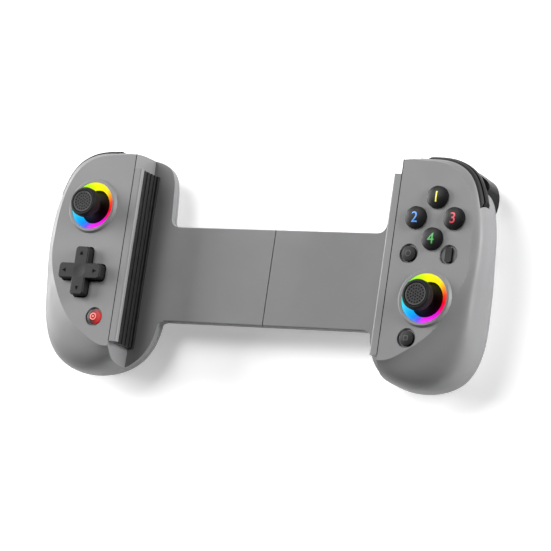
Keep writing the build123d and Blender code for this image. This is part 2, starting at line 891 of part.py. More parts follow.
def clamp_lip():
    # The strip over the phone's edge, with a thin web down the wall
    top, low = face_height, face_height - lip_thickness
    strip = block(wall_x - lip_overhang, wall_x, lip_low_y, lip_high_y, low, top)
    outer_edges = [edge for edge in strip.edges().filter_by(Axis.Y)
                   if edge.center().X < wall_x - lip_overhang / 2]
    strip = fillet(outer_edges, lip_edge_round)
    web_low = bay_floor_height + seat_gap
    return strip + block(wall_x - lip_web, wall_x, lip_low_y, lip_high_y, web_low, low)


def clamp_pad():
    # The rubber strip under the lip, ribbed along its length, with a foot on the bay floor
    back, front = wall_x - lip_web, wall_x - lip_web - pad_thickness
    low, high = bay_floor_height + seat_gap, face_height - lip_thickness - seat_gap
    pad = block(front, back, lip_low_y, lip_high_y, low, high)
    pitch = (high - low - pad_foot_height) / pad_rib_count
    for i in range(pad_rib_count):
        middle = low + pad_foot_height + pitch * (i + 1 / 2)
        pad += block(front - pad_rib_height, front, lip_low_y, lip_high_y,
                     middle - pad_rib_width / 2, middle + pad_rib_width / 2)
    pad += block(front - 2 * pad_rib_height, front, lip_low_y, lip_high_y, low, low + pad_foot_height)
    return pad


# Bridge core, springs, battery and charging socket

core_bottom = parting_height + core_gap
core_top = bay_floor_height - bridge_top_wall - core_gap
spring_height = (core_bottom + spring_floor + core_top) / 2


def core_plate():
    # The plate that slides in both sleeves, with a slot and a pocket for each spring
    half = bridge_width / 2 - bridge_side_wall - core_gap
    near, far = bridge_middle_y - half, bridge_middle_y + half
    plate = block(-core_reach, core_reach, near, far, core_bottom, core_top)
    plate = fillet(plate.edges().filter_by(Axis.Z), core_corner_radius)
    wide = spring_radius + spring_slot_gap
    for way in (-1, 1):
        middle_y = bridge_middle_y + way * spring_y
        slot_end = way * (spring_post_x + telescope_travel + wide)
        low, high = sorted((0, -slot_end))
        plate -= block(low, high, middle_y - wide, middle_y + wide, core_bottom, core_top)
        pocket_end = way * (spring_anchor_x + wide)
        low, high = sorted((0, pocket_end))
        floor = core_bottom + spring_floor
        plate -= block(low, high, middle_y - wide, middle_y + wide, floor, core_top)
        plate += post(spring_post_radius, core_bottom, core_top, way * spring_anchor_x, middle_y)
    return plate


def tension_spring(way):
    # A close-wound spring drawn as a tube, with a loop on each post
    middle_y = bridge_middle_y + way * spring_y
    ends = sorted((-way * spring_post_x, way * spring_anchor_x))
    start, end = ends[0] + 2 * spring_post_radius, ends[1] - 2 * spring_post_radius
    turn = Pos((start + end) / 2, middle_y, spring_height) * Rot(0, 90, 0)
    bore = Cylinder(spring_radius - spring_wall, end - start - 2 * spring_wall)
    tube = turn * (Cylinder(spring_radius, end - start) - bore)
    low, high = spring_height - spring_loop_height / 2, spring_height + spring_loop_height / 2
    for x in ends:
        loop = post(spring_post_radius + spring_wall + running_clearance, low, high, x, middle_y)
        inward = spring_post_radius if x == ends[0] else -spring_post_radius
        near, far = sorted((x + inward, x + 3 * inward))
        loop += block(near, far, middle_y - spring_wall / 2, middle_y + spring_wall / 2, low, high)
        tube += loop
    for x in ends:
        tube -= post(spring_post_radius + running_clearance, low, high, x, middle_y)
    return tube


def battery():
    low = shell_wall
    cell = block(battery_x - battery_width / 2, battery_x + battery_width / 2,
                 battery_y - battery_length / 2, battery_y + battery_length / 2,
                 low, low + battery_thickness)
    return fillet(cell.edges().filter_by(Axis.Y), battery_round)


def rounded_slot(grow, near_y, far_y):
    # A standing rounded slot along Y, as wide as the charging socket's shell and its growth
    half = socket_thickness / 2
    low, high = board_top + half, board_top + socket_width - half
    shape = block(socket_x - half - grow, socket_x + half + grow, near_y, far_y, low, high)
    for z in (low, high):
        end = Pos(socket_x, (near_y + far_y) / 2, z) * Rot(90, 0, 0)
        shape += end * Cylinder(half + grow, far_y - near_y)
    return shape


def charging_socket():
    # A metal shell with a tongue in it, its mouth at the grip's top edge
    mouth = high_y - socket_wall
    shell = rounded_slot(0, mouth - socket_depth, mouth)
    shell -= rounded_slot(-socket_wall, mouth - socket_depth + socket_wall, mouth)
    half = socket_tongue / 2
    low, high = board_top + socket_thickness / 2, board_top + socket_width - socket_thickness / 2
    return shell + block(socket_x - half, socket_x + half, mouth - socket_depth,
                         mouth - 2 * socket_wall, low, high)


def socket_room():
    # The cut in the button mat round the charging socket
    half = socket_thickness / 2 + plunger_side_gap
    near = high_y - socket_wall - socket_depth - plunger_side_gap
    return block(socket_x - half, socket_x + half, near, high_y, board_top, collar_top)


# Covers with their openings


def cluster_places():
    half = cluster_pitch / 2
    return {
        "top": (cluster_x, cluster_y + half),
        "left": (cluster_x - half, cluster_y),
        "right": (cluster_x + half, cluster_y),
        "bottom": (cluster_x, cluster_y - half),
    }


def right_cover(cover):
    cover = ring_seat(cover, stick_right_y)
    for x, y in cluster_places().values():
        cover -= button_hole(face_button_radius, x, y)
    for x, y in ((menu_button_x, menu_button_y), (square_button_x, square_button_y)):
        cover -= button_hole(small_button_radius, x, y)
        cover -= small_recess(x, y)
    cover -= small_recess(key_x, key_y)
    cover -= key_prism(button_side_gap, ceiling_height - overrun, face_height + overrun)
    return cover - rounded_slot(socket_gap, high_y - socket_depth, overall_height / 2 + overrun)


def left_cover(cover):
    # Still on the right-hand side: it is mirrored with its openings
    cover = ring_seat(cover, stick_left_y)
    opening = cross(pad_span + 2 * pad_hole_gap, pad_arm_width + 2 * pad_hole_gap,
                    ceiling_height - overrun, face_height + overrun)
    ends = [e for e in opening.edges().filter_by(Axis.Z)
            if max(abs(e.center().X), abs(e.center().Y)) > pad_span / 2 - pad_arm_width / 4]
    cover -= Pos(pad_x, pad_y, 0) * fillet(ends, pad_arm_round + pad_hole_gap)
    cover -= button_hole(small_button_radius, lit_button_x, lit_button_y)
    return cover - small_recess(lit_button_x, lit_button_y)


def whole(piece):
    # One piece as a single shape for its file
    solids = piece.solids()
    return solids[0] if len(solids) == 1 else Compound(children=list(solids))


def build():
    nodes = {}
    outside, shell = grip_shell()
    front = front_half(outside, shell)
    nodes["front_cover_right"] = right_cover(front)
    nodes["front_cover_left"] = left_of(left_cover(front))
    nodes["rear_cover_right"] = rear_half(outside, shell, -1)
    nodes["rear_cover_left"] = left_of(rear_half(outside, shell, 1))
    both = {
        "clamp_lip": clamp_lip(),
        "clamp_pad": clamp_pad(),
        "circuit_board": circuit_board(),
        "cover_screws": Compound(children=screws_solid()),
        "bumper": bumper_solid(),
        "trigger": trigger_solid(),
        "trigger_pin": trigger_pin_solid(),
        "trigger_spring": trigger_spring_solid(),
    }
    for name, piece in both.items():
        nodes[name + "_right"] = piece
        nodes[name + "_left"] = left_of(piece)
    stick_pieces = {
        "stick_base": stick_base,
        "stick_ring": stick_ring,
        "stick_rocker": stick_rocker,
        "stick_shaft": stick_shaft,
        "stick_cap": stick_cap,
        "light_ring": light_ring,
        "lamp_board": lamp_board,
    }
    for name, make in stick_pieces.items():
        nodes[name + "_right"] = make(stick_right_y)
        nodes[name + "_left"] = left_of(make(stick_left_y))
    face_collar = face_plunger_radius + plunger_side_gap
    small_collar = small_plunger_radius + plunger_side_gap
    pad_collar = pad_stem_radius + pad_stem_side_gap
    right_collars = [(face_collar, x, y) for x, y in cluster_places().values()]
    right_collars.append((small_collar, menu_button_x, menu_button_y))
    right_collars.append((small_collar, square_button_x, square_button_y))
    right_collars.append((small_collar, key_x, key_y))
    left_collars = [(pad_collar, x, y) for x, y in pad_stem_places()]
    left_collars.append((small_collar, lit_button_x, lit_button_y))
    right_mat = button_mat(stick_right_y, right_collars)
    nodes["button_mat_right"] = right_mat - socket_room()
    left_mat = button_mat(stick_left_y, left_collars)
    left_mat -= post(pad_post_radius + seat_gap, board_top, mat_top, pad_x, pad_y)
    nodes["button_mat_left"] = left_of(left_mat)
    for name, (x, y) in cluster_places().items():
        nodes["face_button_" + name] = face_button(x, y)
    nodes["round_button_upper"] = small_button(menu_button_x, menu_button_y)
    nodes["round_button_lower"] = small_button(square_button_x, square_button_y)
    nodes["key_button"] = key_button()
    nodes["lit_button"] = left_of(small_button(lit_button_x, lit_button_y))
    nodes["direction_pad"] = left_of(direction_pad())
    nodes["pad_ball"] = left_of(pad_ball(0))
    nodes["pad_post"] = left_of(pad_post())
    nodes["core_plate"] = core_plate()
    nodes["tension_spring_left"] = tension_spring(1)
    nodes["tension_spring_right"] = tension_spring(-1)
    nodes["battery"] = left_of(battery())
    nodes["charging_socket"] = charging_socket()
    return nodes


os.makedirs("parts", exist_ok=True)
for name, piece in build().items():
    export_step(whole(piece), "parts/" + name + ".step")
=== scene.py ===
import json
import math

import bmesh
import bpy
from mathutils import Matrix, Vector


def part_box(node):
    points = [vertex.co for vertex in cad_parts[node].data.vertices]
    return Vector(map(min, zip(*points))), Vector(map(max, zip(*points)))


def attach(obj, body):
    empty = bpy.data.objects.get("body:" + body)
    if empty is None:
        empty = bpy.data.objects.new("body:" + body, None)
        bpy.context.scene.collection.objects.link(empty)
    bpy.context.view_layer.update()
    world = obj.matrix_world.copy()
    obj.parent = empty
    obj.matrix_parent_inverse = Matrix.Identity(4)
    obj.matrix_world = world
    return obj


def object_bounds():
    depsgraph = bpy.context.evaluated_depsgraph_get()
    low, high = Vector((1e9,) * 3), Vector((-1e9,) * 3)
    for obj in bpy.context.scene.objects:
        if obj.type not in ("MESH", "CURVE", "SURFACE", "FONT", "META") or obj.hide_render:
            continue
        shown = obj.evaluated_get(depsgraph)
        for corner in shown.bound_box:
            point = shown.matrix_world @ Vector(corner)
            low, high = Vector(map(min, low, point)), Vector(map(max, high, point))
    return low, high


# A telescopic game controller that holds a phone between its grips.
# It lies on its back, with its face up. X runs along it, Y towards the shoulder edge.
# Everything is in metres, in the frame of the solids.

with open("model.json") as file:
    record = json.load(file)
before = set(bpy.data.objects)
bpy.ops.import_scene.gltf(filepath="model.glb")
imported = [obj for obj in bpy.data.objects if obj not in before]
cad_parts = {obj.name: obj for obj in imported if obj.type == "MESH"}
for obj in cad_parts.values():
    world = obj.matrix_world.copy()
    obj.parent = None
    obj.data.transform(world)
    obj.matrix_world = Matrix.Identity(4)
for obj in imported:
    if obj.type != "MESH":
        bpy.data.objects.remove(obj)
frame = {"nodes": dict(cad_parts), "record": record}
solid_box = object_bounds()
MM = 0.001
SIDES = ("left", "right")
PLACES = ("top", "left", "right", "bottom")

# Small pieces that dress the solids, in metres
WELD = MM / 1000
ROUND_SIDES = 96
TUBE_SIDES = 12
LEGEND_HEIGHT = 4.6 * MM
LEGEND_LIFT = 0.03 * MM
INK = 0.12 * MM
DRAPE_STEP = 0.4 * MM
FACE_DOME = 13.25 * MM
SMALL_DOME = 13.0 * MM
ICON_RADIUS = 1.35 * MM
SQUARE_RADIUS = 1.5 * MM
LIT_RADIUS = 1.55 * MM
ICON_LINE = 0.34 * MM
ICON_SIDES = 40
LIT_ICON_SIDES = 32
DOT_RING_RADIUS = 0.42 * MM
# Size and place of the dark arrow heads of painted shade in the pad's sunk marks
MARK_LENGTH = 2.0 * MM
MARK_PLACE = 8.09 * MM
MARK_SINK = 0.08 * MM
MARK_FILL = 0.55 * MM
DISH_DEPTH = 0.5 * MM
# Rings of dark spots on each thumb cap's disc, painted shade of its dimples
DIMPLE_ROWS = 4
DIMPLE_PITCH = 1.2 * MM
DIMPLE_RADIUS = 0.38 * MM
DIMPLE_SIDES = 10
BEAD_RADIUS = 4.55 * MM
BEAD_TUBE = 0.2 * MM
# A dark ring on each thumb cap, painted shade of the groove at its dish's edge
GROOVE_RADIUS = 5.08 * MM
GROOVE_TUBE = 0.32 * MM
CAP_RADIUS = 6.5 * MM
CAP_HEIGHT = 4.4 * MM
RIB_COUNT = 60
RIB_WIDTH = 0.3 * MM
RIB_DEPTH = 0.24 * MM
RIB_HEIGHT = 2.5 * MM
SEAM_WIDTH = 0.32 * MM
SEAM_THICKNESS = 0.06 * MM
SEAM_END = 1.4 * MM
PARTING_HEIGHT = 10.7 * MM
PARTING_HALF_WIDTH = 0.11 * MM
# Height of the bumper's dark line of painted groove shade, and the reach over which its colours change
BUMPER_LINE_HEIGHT = 26.3 * MM
BUMPER_LINE_REACH = 4.0 * MM
PARTING_COLOUR = "#2a2a2b"
KEY_GLOW_REACH = 3.2 * MM

# The studio and the camera, in metres but for the lens
LIGHT_DISTANCE = 2.2
SKY_STRENGTH = 0.05
FLOOR_HALF = 6.0
FLOOR_GLOW = 0.36
FLOOR_DROP = 0.05 * MM
CAMERA_PLACE = (0.6996, -0.2506, 1.1894)
CAMERA_AXES = ((0.8645, 0.1420, -0.4822), (-0.0338, 0.9735, 0.2262), (0.5016, -0.1793, 0.8463))
LENS_MM = 208.5
SENSOR_MM = 36.0
CLIP_NEAR, CLIP_FAR = 0.05, 50.0


def srgb(text):
    # A hex colour as it is seen, turned to the linear values that shaders take
    parts = [int(text[i:i + 2], 16) / 255 for i in (1, 3, 5)]
    return tuple(c / 12.92 if c <= 0.04045 else ((c + 0.055) / 1.055) ** 2.4 for c in parts) + (1.0,)


def add(tree, kind, links=None, **settings):
    # Adds one node: settings are its own values, links are values or sockets for its inputs
    made = tree.nodes.new(kind)
    for key, value in settings.items():
        setattr(made, key, value)
    for socket, value in (links or {}).items():
        if isinstance(value, bpy.types.NodeSocket):
            tree.links.new(value, made.inputs[socket])
        else:
            made.inputs[socket].default_value = value
    return made


def new_material(name, **shader):
    # A material with its shader, whose plain values are set on the shader's own sockets
    material = bpy.data.materials.new(name)
    material.use_nodes = True
    tree = material.node_tree
    tree.nodes.clear()
    surface = add(tree, "ShaderNodeBsdfPrincipled", shader)
    add(tree, "ShaderNodeOutputMaterial", {"Surface": surface.outputs[0]})
    return material, tree, surface


def object_point(tree):
    return add(tree, "ShaderNodeTexCoord").outputs["Object"]


def noise(tree, point, size, detail=3.0):
    # Noise whose blotches are about size metres across
    made = add(tree, "ShaderNodeTexNoise", {"Vector": point, "Scale": 1 / size, "Detail": detail})
    return made.outputs[0]


def ramp(tree, factor, stops):
    # A colour ramp from a list of (place, hex colour)
    made = add(tree, "ShaderNodeValToRGB", {0: factor})
    elements = made.color_ramp.elements
    while len(elements) < len(stops):
        elements.new(0.5)
    for element, (place, colour) in zip(elements, stops):
        element.position = place
        element.color = srgb(colour)
    return made.outputs[0]


def grain(tree, surface, point, size, depth):
    # Fine tool texture or rubber grain, as bumps about size across and depth deep
    height = noise(tree, point, size, 2.0)
    bump = add(tree, "ShaderNodeBump", {"Height": height, "Distance": depth, "Strength": 0.5})
    tree.links.new(bump.outputs[0], surface.inputs["Normal"])


def mottled(tree, surface, point, dark, light, patch):
    # A faint unevenness of the colour, in patches
    factor = noise(tree, point, patch)
    tree.links.new(ramp(tree, factor, [(0.3, dark), (0.7, light)]), surface.inputs["Base Color"])


def roughened(tree, surface, point, low, high, patch):
    # Roughness that changes from low to high over the surface, as handling leaves it
    spread = add(tree, "ShaderNodeMapRange", {
        "Value": noise(tree, point, patch), "From Min": 0.3, "From Max": 0.7, "To Min": low, "To Max": high,
    })
    tree.links.new(spread.outputs[0], surface.inputs["Roughness"])


def moulded_shell(name, dark, light):
    # Grey ABS, injection moulded in a spark-eroded tool: an even satin-matte grain of 0.5 mm,
    # and a fine dark line where the two covers meet
    material, tree, surface = new_material(name, **{"IOR": 1.5, "Specular IOR Level": 0.42})
    point = object_point(tree)
    factor = noise(tree, point, 28 * MM)
    tint = ramp(tree, factor, [(0.3, dark), (0.7, light)])
    height = add(tree, "ShaderNodeSeparateXYZ", {0: point}).outputs[2]
    offset = add(tree, "ShaderNodeMath", {0: height, 1: PARTING_HEIGHT}, operation="SUBTRACT")
    distance = add(tree, "ShaderNodeMath", {0: offset.outputs[0]}, operation="ABSOLUTE")
    near = {0: distance.outputs[0], 1: PARTING_HALF_WIDTH}
    line = add(tree, "ShaderNodeMath", near, operation="LESS_THAN")
    colours = {0: line.outputs[0], 6: tint, 7: srgb(PARTING_COLOUR)}
    mixed = add(tree, "ShaderNodeMix", colours, data_type="RGBA")
    tree.links.new(mixed.outputs[2], surface.inputs["Base Color"])
    roughened(tree, surface, point, 0.44, 0.54, 9 * MM)
    grain(tree, surface, point, 0.5 * MM, 0.02 * MM)
    return material


def moulded_plastic(name, dark, light, roughness, grain_depth, shine=0.38):
    # Black ABS keys and shoulder levers, moulded and left satin or polished
    material, tree, surface = new_material(name, **{"IOR": 1.5, "Specular IOR Level": shine})
    point = object_point(tree)
    mottled(tree, surface, point, dark, light, 6 * MM)
    roughened(tree, surface, point, roughness - 0.04, roughness + 0.05, 3 * MM)
    grain(tree, surface, point, 0.4 * MM, grain_depth)
    return material


def grooved_plastic(name):
    # Black ABS bumper: grey-black above a set height and near black below it, and between them a fine dark
    # line with no reflection, which is painted groove shade
    material, tree, surface = new_material(name, **{"IOR": 1.5})
    point = object_point(tree)
    height = add(tree, "ShaderNodeSeparateXYZ", {0: point}).outputs[2]
    share = add(tree, "ShaderNodeMapRange", {
        "Value": height, "From Min": BUMPER_LINE_HEIGHT - BUMPER_LINE_REACH,
        "From Max": BUMPER_LINE_HEIGHT + BUMPER_LINE_REACH,
    }).outputs[0]
    # The dark middle stops are painted groove shade
    edges = (0.0, 0.44, 0.46, 0.54, 0.56, 1.0)
    tints_and_groove_shade = ("#0a0a0b", "#0a0a0b", "#020202", "#020202", "#262627", "#2e2e2f")
    shines_and_groove_shade = ("#5a5a5a", "#5a5a5a", "#000000", "#000000", "#6a6a6a", "#6a6a6a")
    tree.links.new(ramp(tree, share, list(zip(edges, tints_and_groove_shade))), surface.inputs["Base Color"])
    tree.links.new(ramp(tree, share, list(zip(edges, shines_and_groove_shade))), surface.inputs["Specular IOR Level"])
    roughened(tree, surface, point, 0.38, 0.46, 3 * MM)
    grain(tree, surface, point, 0.4 * MM, 0.006 * MM)
    return material


def moulded_rubber(name, dark, light, roughness, shine=0.3):
    # Silicone or TPE, moulded matt: soft, dull, with a dusty bloom in its grain
    material, tree, surface = new_material(name, **{
        "IOR": 1.41, "Specular IOR Level": shine, "Sheen Weight": 0.06, "Sheen Roughness": 0.5,
    })
    point = object_point(tree)
    mottled(tree, surface, point, dark, light, 4 * MM)
    roughened(tree, surface, point, roughness - 0.05, roughness + 0.05, 2 * MM)
    grain(tree, surface, point, 0.35 * MM, 0.03 * MM)
    return material


def glowing_diffuser(name, centre):
    # A polycarbonate light guide over coloured lamps: its colour runs once round the wheel
    material, tree, surface = new_material(name, **{
        "IOR": 1.58, "Specular IOR Level": 0.12, "Base Color": srgb("#101010"), "Emission Strength": 1.0,
    })
    point = object_point(tree)
    place = add(tree, "ShaderNodeMapping", {"Vector": point, "Location": (-centre.x, -centre.y, 0)})
    turn = add(tree, "ShaderNodeTexGradient", {0: place.outputs[0]}, gradient_type="RADIAL").outputs[1]
    hues = ramp(tree, turn, [
        (0.0, "#00e8c0"), (0.06, "#38d8ff"), (0.122, "#00b4ff"), (0.18, "#008cff"), (0.222, "#7050ff"),
        (0.26, "#f020ff"), (0.375, "#f000e0"), (0.422, "#ff0070"), (0.478, "#ff0018"), (0.53, "#ff3800"),
        (0.575, "#ff9400"), (0.63, "#ffec00"), (0.75, "#ffff00"), (0.83, "#b8ff20"), (0.92, "#30f060"),
        (1.0, "#00e8c0"),
    ])
    tree.links.new(hues, surface.inputs["Emission Color"])
    roughened(tree, surface, point, 0.28, 0.36, 2 * MM)
    grain(tree, surface, point, 0.6 * MM, 0.006 * MM)
    return material


def lit_key(name, centre):
    # A tinted translucent key over a red lamp: bright on the side where the lamp shows through
    material, tree, surface = new_material(name, **{
        "IOR": 1.5, "Specular IOR Level": 0.2, "Emission Strength": 0.75,
    })
    point = object_point(tree)
    place = add(tree, "ShaderNodeMapping", {"Vector": point, "Location": (-centre.x, -centre.y, 0)})
    across = add(tree, "ShaderNodeSeparateXYZ", {0: place.outputs[0]}).outputs[0]
    spread = add(tree, "ShaderNodeMapRange", {
        "Value": across, "From Min": -KEY_GLOW_REACH, "From Max": KEY_GLOW_REACH,
    }).outputs[0]
    glow = ramp(tree, spread, [(0.0, "#0c0404"), (0.42, "#3c0c0c"), (0.75, "#c02828"), (1.0, "#e84040")])
    tree.links.new(glow, surface.inputs["Emission Color"])
    mottled(tree, surface, point, "#1c1414", "#261a1a", 2 * MM)
    roughened(tree, surface, point, 0.34, 0.44, 2 * MM)
    grain(tree, surface, point, 0.4 * MM, 0.01 * MM)
    return material


def glowing_ink(name, colour, strength):
    # A window in the key's paint that the lamp shines through
    material, tree, surface = new_material(name, **{"Roughness": 0.4, "Emission Strength": strength})
    point = object_point(tree)
    factor = noise(tree, point, 1.5 * MM)
    tint = ramp(tree, factor, [(0.2, colour), (0.8, "#ff8a80")])
    tree.links.new(tint, surface.inputs["Base Color"])
    tree.links.new(tint, surface.inputs["Emission Color"])
    return material


def moulded_ink(name, dark, light, roughness=0.42, shine=0.5):
    # Coloured resin of a two-shot moulding or pad-printed ink: flat, even, faintly uneven at its edge. In
    # black it also serves as painted shade
    material, tree, surface = new_material(name, **{"IOR": 1.5, "Specular IOR Level": shine})
    point = object_point(tree)
    mottled(tree, surface, point, dark, light, 1.2 * MM)
    roughened(tree, surface, point, roughness - 0.05, roughness + 0.05, 0.8 * MM)
    return material


def turned_steel(name):
    # Zinc-plated steel wire and pins: bright, drawn along their length
    material, tree, surface = new_material(name, **{"Metallic": 1.0})
    point = object_point(tree)
    drawn = add(tree, "ShaderNodeMapping", {"Vector": point, "Scale": (0.15, 1.0, 1.0)}).outputs[0]
    mottled(tree, surface, drawn, "#a9abae", "#c6c8ca", 0.6 * MM)
    roughened(tree, surface, drawn, 0.24, 0.4, 0.5 * MM)
    grain(tree, surface, drawn, 0.25 * MM, 0.01 * MM)
    return material


def solder_mask(name):
    # Green solder mask over copper tracks on glass-epoxy board: glossy, with lighter tracks
    material, tree, surface = new_material(name, **{"IOR": 1.5, "Coat Weight": 0.4, "Coat Roughness": 0.15})
    point = object_point(tree)
    tracks = add(tree, "ShaderNodeTexBrick", {
        "Vector": point, "Color1": srgb("#0e4a2a"), "Color2": srgb("#12573a"), "Mortar": srgb("#1c7048"),
        "Scale": 1.0, "Mortar Size": 0.25 * MM, "Brick Width": 3.2 * MM, "Row Height": 1.3 * MM,
    })
    tree.links.new(tracks.outputs[0], surface.inputs["Base Color"])
    roughened(tree, surface, point, 0.28, 0.4, 4 * MM)
    bump = add(tree, "ShaderNodeBump", {"Height": tracks.outputs[1], "Distance": 0.02 * MM, "Strength": 0.4})
    tree.links.new(bump.outputs[0], surface.inputs["Normal"])
    return material


def shrink_film(name):
    # Blue polyester film shrunk on a cell: glossy, with slight puckers
    material, tree, surface = new_material(name, **{"IOR": 1.57, "Coat Weight": 0.3, "Coat Roughness": 0.2})
    point = object_point(tree)
    mottled(tree, surface, point, "#1f3f86", "#2a4f9c", 8 * MM)
    roughened(tree, surface, point, 0.25, 0.4, 5 * MM)
    grain(tree, surface, point, 3 * MM, 0.08 * MM)
    return material


def light_table(name):
    # Opal acrylic lit from below, as for a cut-out product picture: matt and almost even
    material, tree, surface = new_material(name, **{
        "Roughness": 0.9, "Specular IOR Level": 0.1, "Emission Strength": FLOOR_GLOW,
    })
    tint = ramp(tree, noise(tree, object_point(tree), 120 * MM), [(0.3, "#f6f6f6"), (0.7, "#f9f9f9")])
    tree.links.new(tint, surface.inputs["Base Color"])
    tree.links.new(tint, surface.inputs["Emission Color"])
    return material


def middle(node):
    low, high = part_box(node)
    return (low + high) / 2


# Materials of the record's slots

SHELL = moulded_shell("ABS_moulded_matte_grey", "#717172", "#767677")
FINISHES = {
    "shell_grey": SHELL,
    "core_grey": moulded_plastic("ABS_moulded_satin_grey", "#646465", "#6a6a6b", 0.4, 0.012 * MM),
    "grip_rubber": moulded_rubber("TPE_moulded_black", "#171718", "#1e1e1f", 0.6),
    "mat_rubber": moulded_rubber("silicone_moulded_grey", "#8c8d8e", "#989998", 0.55),
    "stick_rubber": moulded_rubber("TPE_textured_black", "#0d0d0e", "#131314", 0.55, 0.18),
    "face_button": moulded_plastic("ABS_polished_black", "#0a0a0b", "#0e0e0f", 0.42, 0.004 * MM, 0.2),
    "button_black": moulded_plastic(
        "ABS_moulded_satin_black", "#151516", "#1b1b1c", 0.55, 0.012 * MM, 0.25,
    ),
    "shoulder_black": moulded_plastic(
        "ABS_moulded_gloss_black", "#0a0a0b", "#0f0f10", 0.36, 0.006 * MM, 0.11,
    ),
    "mechanism_black": moulded_plastic("POM_moulded_black", "#0e0e0f", "#141415", 0.5, 0.01 * MM),
    "circuit_board": solder_mask("FR4_solder_mask_green"),
    "steel": turned_steel("steel_zinc_plated"),
    "battery_wrap": shrink_film("polyester_shrink_film_blue"),
}
BUMPER = grooved_plastic("ABS_moulded_black_painted_groove")
SLOT_OF = {part["node"]: part["material_slot"] for part in frame["record"]["subparts"]}


def dress_solids():
    for name, piece in frame["nodes"].items():
        slot = SLOT_OF[name]
        if slot == "light_ring":
            material = glowing_diffuser("polycarbonate_light_guide_" + name.split("_")[-1], middle(name))
        elif name == "lit_button":
            material = lit_key("ABS_tinted_red_backlit", middle(name))
        elif name.startswith("bumper"):
            material = BUMPER
        else:
            material = FINISHES[slot]
        piece.data.materials.clear()
        piece.data.materials.append(material)


# Shapes of the small pieces


def finished(shape, name, material, body):
    # Turns a shape into a piece at the origin that rides on a body of the solids
    bmesh.ops.remove_doubles(shape, verts=shape.verts, dist=WELD)
    bmesh.ops.recalc_face_normals(shape, faces=shape.faces)
    mesh = bpy.data.meshes.new(name)
    shape.to_mesh(mesh)
    shape.free()
    mesh.materials.append(material)
    piece = bpy.data.objects.new(name, mesh)
    bpy.context.scene.collection.objects.link(piece)
    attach(piece, body)


def thicken(shape, height):
    # Raises a copy of the flat faces by height and closes the sides
    raised = bmesh.ops.extrude_face_region(shape, geom=shape.faces[:])
    corners = [v for v in raised["geom"] if isinstance(v, bmesh.types.BMVert)]
    bmesh.ops.translate(shape, verts=corners, vec=(0, 0, height))


def drape(shape, reach, dome_radius):
    # Cuts the shape into a grid and lowers it to lie on a dome round the origin
    for way in ((1, 0, 0), (0, 1, 0)):
        steps = int(reach / DRAPE_STEP)
        for i in range(-steps, steps + 1):
            place = Vector(way) * i * DRAPE_STEP
            bmesh.ops.bisect_plane(shape, geom=shape.verts[:] + shape.edges[:] + shape.faces[:],
                                   dist=WELD, plane_co=place, plane_no=way)
    for v in shape.verts:
        v.co.z -= (v.co.x ** 2 + v.co.y ** 2) / (2 * dome_radius)


def place(shape, centre, height):
    bmesh.ops.translate(shape, verts=shape.verts, vec=(centre.x, centre.y, height))


def outline_icon(sides, radius, line, turn=0.0):
    # A flat ring, square or triangle outline; with no line it is filled
    shape = bmesh.new()
    bmesh.ops.create_circle(shape, cap_ends=True, segments=sides, radius=radius)
    bmesh.ops.rotate(shape, verts=shape.verts, matrix=Matrix.Rotation(turn, 3, "Z"))
    if line:
        filled = shape.faces[:]
        bmesh.ops.inset_region(shape, faces=filled, thickness=line, use_boundary=True, use_even_offset=True)
        bmesh.ops.delete(shape, geom=filled, context="FACES_KEEP_BOUNDARY")
    return shape


def numeral(text):
    # A plain numeral, centred on the origin, as flat faces
    curve = bpy.data.curves.new("numeral", "FONT")
    curve.body = text
    curve.size = 1.0
    curve.resolution_u = 4
    written = bpy.data.objects.new("numeral", curve)
    bpy.context.scene.collection.objects.link(written)
    bpy.context.view_layer.update()
    flat = bpy.data.meshes.new_from_object(written)
    bpy.data.objects.remove(written)
    shape = bmesh.new()
    shape.from_mesh(flat)
    bpy.data.meshes.remove(flat)
    bmesh.ops.remove_doubles(shape, verts=shape.verts, dist=0.0005)
    low = Vector((min(v.co.x for v in shape.verts), min(v.co.y for v in shape.verts), 0))
    high = Vector((max(v.co.x for v in shape.verts), max(v.co.y for v in shape.verts), 0))
    bmesh.ops.translate(shape, verts=shape.verts, vec=-(low + high) / 2)
    bmesh.ops.scale(shape, verts=shape.verts, vec=Vector((1, 1, 1)) * LEGEND_HEIGHT / (high.y - low.y))
    return shape


def on_dome(shape, reach, dome_radius, centre, top):
    # Thickens a flat legend and lays it on a domed key
    thicken(shape, INK)
    drape(shape, reach, dome_radius)
    place(shape, centre, top - INK + LEGEND_LIFT)


def face_legends():
    inks = {
        "top": moulded_ink("resin_legend_yellow", "#e6dc3c", "#f2ea58"),
        "left": moulded_ink("resin_legend_blue", "#3f86d8", "#5498e6"),
        "right": moulded_ink("resin_legend_red", "#c8283c", "#dc3c50"),
        "bottom": moulded_ink("resin_legend_green", "#2c9c3c", "#3cae4a"),
    }
    for count, where in enumerate(PLACES, 1):
        key = "face_button_" + where
        shape = numeral(str(count))
        on_dome(shape, LEGEND_HEIGHT, FACE_DOME, middle(key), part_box(key)[1].z)
        finished(shape, "legend_" + where, inks[where], "button_" + where)


